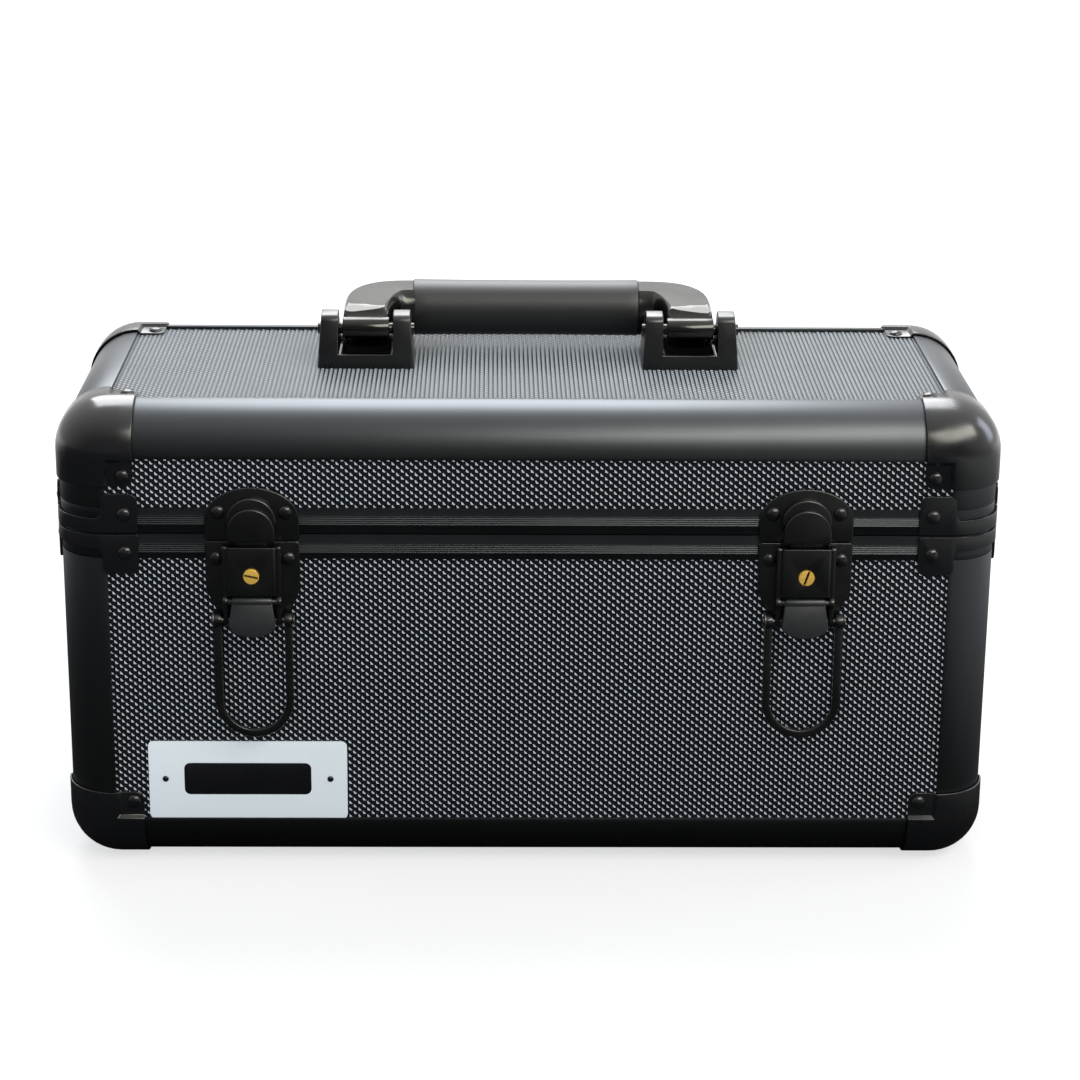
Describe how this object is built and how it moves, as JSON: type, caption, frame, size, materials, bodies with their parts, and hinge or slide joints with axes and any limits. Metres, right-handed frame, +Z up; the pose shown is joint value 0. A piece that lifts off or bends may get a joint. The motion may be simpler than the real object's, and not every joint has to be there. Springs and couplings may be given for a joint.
{
  "type": "trading card case",
  "caption": "Black hard case with rounded metal edges, ball corners, ribbed rims, a folding top handle and two keyed latches, with foam wells for card slabs.",
  "frame": {"origin": "middle of the whole outline on the plane the case stands on", "axes": "+X to the viewer's right along the front, +Y from the latched front to the hinged back, +Z up"},
  "size_m": [0.3644, 0.165, 0.21],
  "materials": {
    "anodised_black": "satin black anodised extrusion",
    "ribbed_black": "satin black anodised extrusion with fine ribs",
    "black_lacquer": "semi-gloss black lacquer on pressed steel",
    "dotted_laminate": "black laminate embossed with small raised dots",
    "black_foam": "black closed-cell foam",
    "dark_chrome": "dark polished plating",
    "soft_grip": "satin black rubber sleeve",
    "lock_brass": "polished brass",
    "zinc_steel": "dull zinc-plated steel pins and nails",
    "pale_plate": "pale satin paint on thin sheet aluminium"
  },
  "bodies": {
    "base": {"base_front_edge": "anodised_black", "base_back_edge": "anodised_black", "base_left_edge": "anodised_black", "base_right_edge": "anodised_black", "base_front_left_post": "anodised_black", "base_front_right_post": "anodised_black", "base_back_left_post": "anodised_black", "base_back_right_post": "anodised_black", "base_front_panel": "dotted_laminate", "base_back_panel": "dotted_laminate", "base_left_panel": "dotted_laminate", "base_right_panel": "dotted_laminate", "base_floor_panel": "dotted_laminate", "base_rim": "ribbed_black", "base_front_left_ball_corner": "black_lacquer", "base_front_left_rim_corner": "black_lacquer", "base_front_right_ball_corner": "black_lacquer", "base_front_right_rim_corner": "black_lacquer", "base_back_left_ball_corner": "black_lacquer", "base_back_left_rim_corner": "black_lacquer", "base_back_right_ball_corner": "black_lacquer", "base_back_right_rim_corner": "black_lacquer", "card_insert": "black_foam", "hinge_base_leaf": "anodised_black", "left_latch_base": "black_lacquer", "right_latch_base": "black_lacquer"},
    "lid": {"lid_front_edge": "anodised_black", "lid_back_edge": "anodised_black", "lid_left_edge": "anodised_black", "lid_right_edge": "anodised_black", "lid_front_panel": "dotted_laminate", "lid_back_panel": "dotted_laminate", "lid_left_panel": "dotted_laminate", "lid_right_panel": "dotted_laminate", "lid_top_panel": "dotted_laminate", "lid_rim": "ribbed_black", "lid_front_left_ball_corner": "black_lacquer", "lid_front_left_rim_corner": "black_lacquer", "lid_front_right_ball_corner": "black_lacquer", "lid_front_right_rim_corner": "black_lacquer", "lid_back_left_ball_corner": "black_lacquer", "lid_back_left_rim_corner": "black_lacquer", "lid_back_right_ball_corner": "black_lacquer", "lid_back_right_rim_corner": "black_lacquer", "lid_foam_pad": "black_foam", "hinge_lid_leaf": "anodised_black", "left_latch_keeper": "black_lacquer", "right_latch_keeper": "black_lacquer", "handle_left_bracket": "black_lacquer", "handle_right_bracket": "black_lacquer"},
    "handle": {"handle_frame": "dark_chrome", "handle_grip": "soft_grip"},
    "left_lever": {"left_latch_lever": "black_lacquer"},
    "left_hook": {"left_latch_hook": "black_lacquer"},
    "left_lock": {"left_latch_lock": "lock_brass"},
    "left_ring": {"left_latch_ring": "black_lacquer"},
    "right_lever": {"right_latch_lever": "black_lacquer"},
    "right_hook": {"right_latch_hook": "black_lacquer"},
    "right_lock": {"right_latch_lock": "lock_brass"},
    "right_ring": {"right_latch_ring": "black_lacquer"}
  },
  "joints": [
    {"name": "lid_hinge", "type": "hinge", "parent": "base", "child": "lid", "pos_m": [0, 0.0801, 0.13745], "axis": [-1, 0, 0], "range_deg": [0, 100]},
    {"name": "handle_swing", "type": "hinge", "parent": "lid", "child": "handle", "pos_m": [0, 0.00291, 0.199], "axis": [1, 0, 0], "range_deg": [0, 180]},
    {"name": "left_lever_swing", "type": "hinge", "parent": "base", "child": "left_lever", "pos_m": [-0.105, -0.07759, 0.11225], "axis": [-1, 0, 0], "range_deg": [0, 90]},
    {"name": "left_hook_slide", "type": "slide", "parent": "base", "child": "left_hook", "axis": [0, 0, 1], "range_m": [0, 0.0045]},
    {"name": "left_lock_turn", "type": "hinge", "parent": "base", "child": "left_lock", "pos_m": [-0.105, -0.0716, 0.12315], "axis": [0, -1, 0], "range_deg": [0, 90]},
    {"name": "left_ring_swing", "type": "hinge", "parent": "base", "child": "left_ring", "pos_m": [-0.105, -0.07649, 0.10445], "axis": [-1, 0, 0], "range_deg": [0, 160]},
    {"name": "right_lever_swing", "type": "hinge", "parent": "base", "child": "right_lever", "pos_m": [0.105, -0.07759, 0.11225], "axis": [-1, 0, 0], "range_deg": [0, 90]},
    {"name": "right_hook_slide", "type": "slide", "parent": "base", "child": "right_hook", "axis": [0, 0, 1], "range_m": [0, 0.0045]},
    {"name": "right_lock_turn", "type": "hinge", "parent": "base", "child": "right_lock", "pos_m": [0.105, -0.0716, 0.12315], "axis": [0, -1, 0], "range_deg": [0, 90]},
    {"name": "right_ring_swing", "type": "hinge", "parent": "base", "child": "right_ring", "pos_m": [0.105, -0.07649, 0.10445], "axis": [-1, 0, 0], "range_deg": [0, 160]}
  ],
  "couplings": [
    {"joint": "left_hook_slide", "follows": "left_lever_swing", "m_per_rad": 0.0028},
    {"joint": "right_hook_slide", "follows": "right_lever_swing", "m_per_rad": 0.0028}
  ]
}
